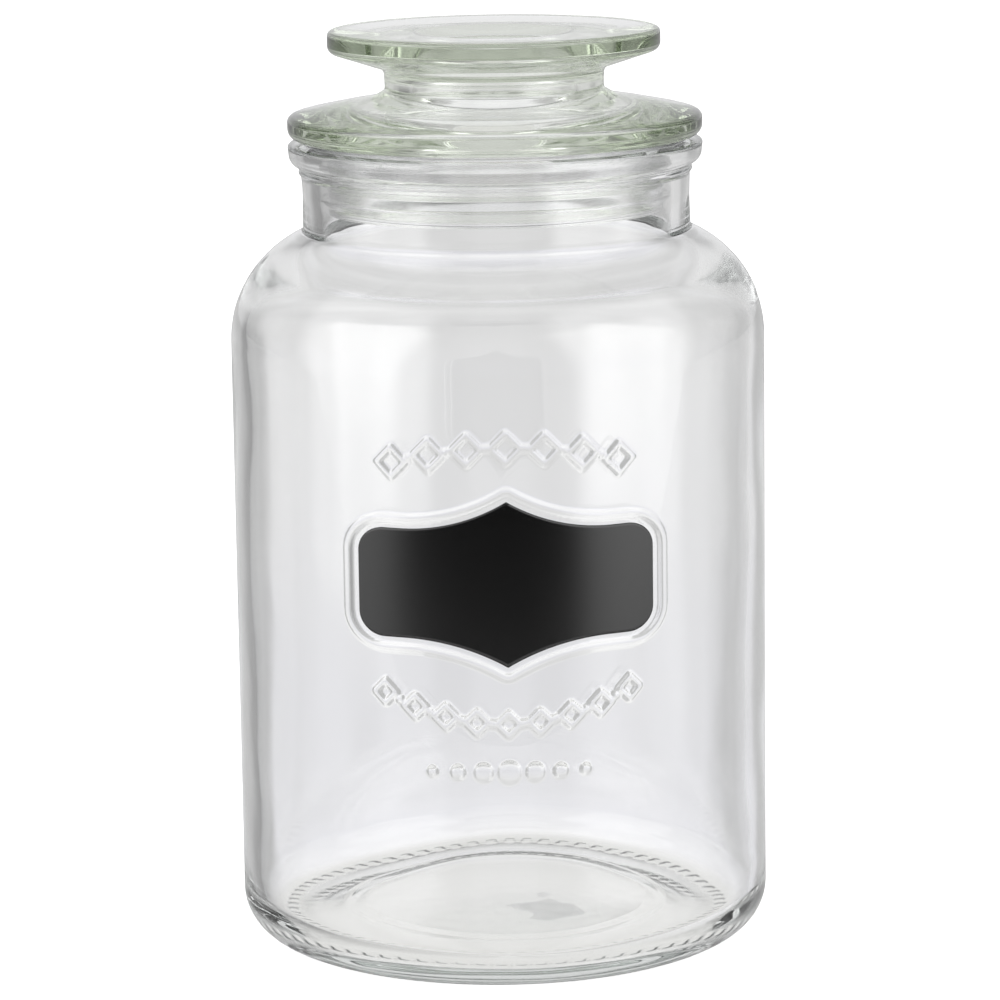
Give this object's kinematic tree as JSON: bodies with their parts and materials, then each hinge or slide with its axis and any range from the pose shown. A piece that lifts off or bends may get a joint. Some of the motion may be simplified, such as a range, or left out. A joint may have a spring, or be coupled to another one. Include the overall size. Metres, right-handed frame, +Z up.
{
  "type": "glass storage jar",
  "caption": "Round clear glass storage jar with a wide neck, a pressed glass lid with a disc knob, a clear seal ring and a black write-on label in a raised frame.",
  "frame": {"origin": "centre of the base, on the surface that the jar stands on", "axes": "+Z up along the jar's axis; the label faces -Y"},
  "size_m": [0.16, 0.1609, 0.2743],
  "materials": {
    "jar_glass": "clear polished glass, near colourless",
    "lid_glass": "clear polished glass, pale green where thick",
    "clear_seal": "clear soft plastic, smooth",
    "black_label": "satin black write-on film"
  },
  "bodies": {
    "root": {"jar": "jar_glass", "lid": "lid_glass", "seal": "clear_seal", "label": "black_label"}
  },
  "joints": []
}
